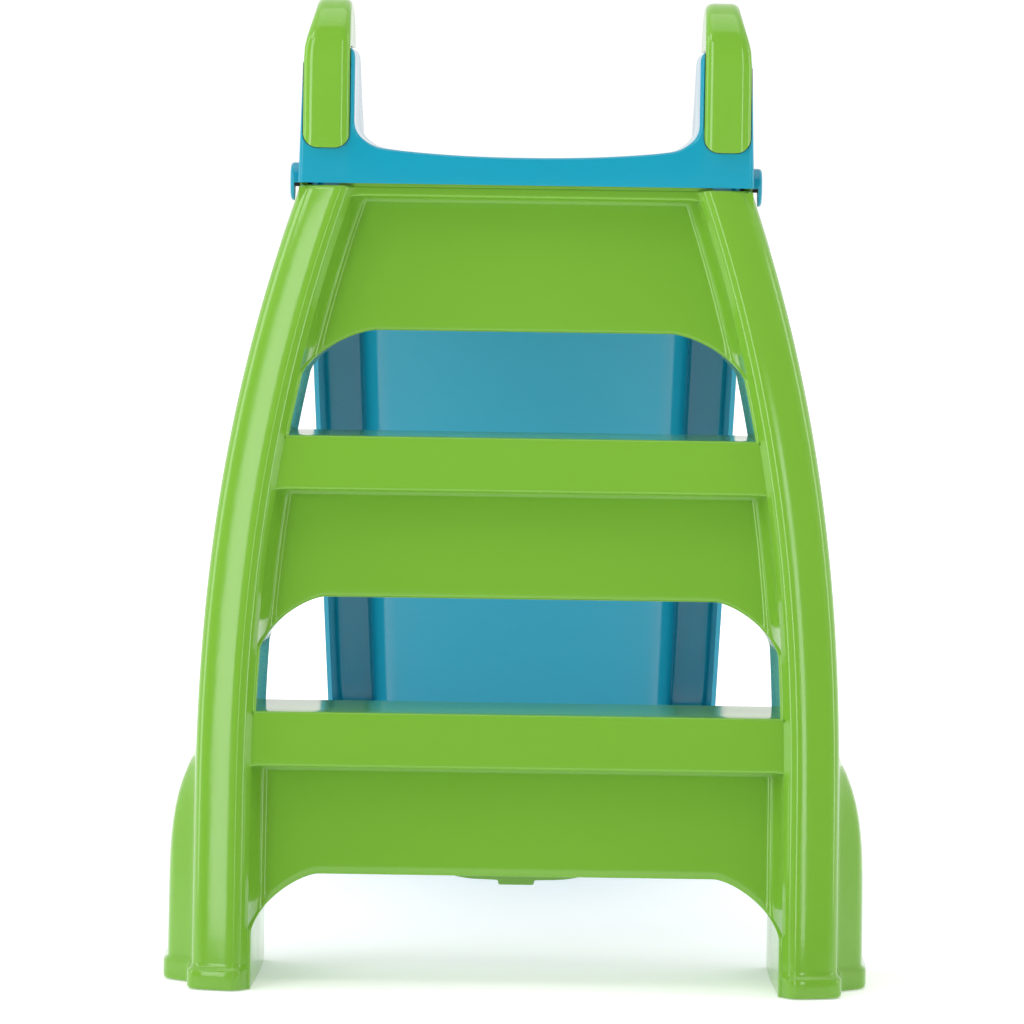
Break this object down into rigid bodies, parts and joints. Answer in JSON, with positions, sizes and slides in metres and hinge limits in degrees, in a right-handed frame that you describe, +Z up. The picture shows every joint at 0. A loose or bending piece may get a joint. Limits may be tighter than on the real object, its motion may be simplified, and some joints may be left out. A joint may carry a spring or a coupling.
{
  "type": "toddler slide",
  "caption": "Low moulded plastic slide for toddlers: a deck with handrails, a straight chute with raised sides, and an open-step ladder that folds under the chute.",
  "frame": {"origin": "on the floor under the middle of the whole slide, from the ladder's feet to the chute's low end", "axes": "+Z up, +Y the way a child slides down, X across the slide, which is symmetric across X = 0"},
  "size_m": [0.421, 0.965, 0.584],
  "materials": {
    "green_plastic": "moulded, high gloss",
    "blue_plastic": "moulded, gloss",
    "pin_plastic": "moulded, satin",
    "screw_steel": "zinc plated"
  },
  "bodies": {
    "slide": {"slide_chute": "blue_plastic", "handrail_left": "green_plastic", "handrail_right": "green_plastic", "hinge_pin_left": "pin_plastic", "hinge_pin_right": "pin_plastic", "handrail_screw_left_rear": "screw_steel", "handrail_screw_left_front": "screw_steel", "handrail_screw_right_rear": "screw_steel", "handrail_screw_right_front": "screw_steel"},
    "ladder": {"ladder_frame": "green_plastic"}
  },
  "joints": [
    {"name": "ladder_fold", "type": "hinge", "parent": "slide", "child": "ladder", "pos_m": [0, -0.37, 0.474], "axis": [1, 0, 0], "range_deg": [0, 62]}
  ]
}
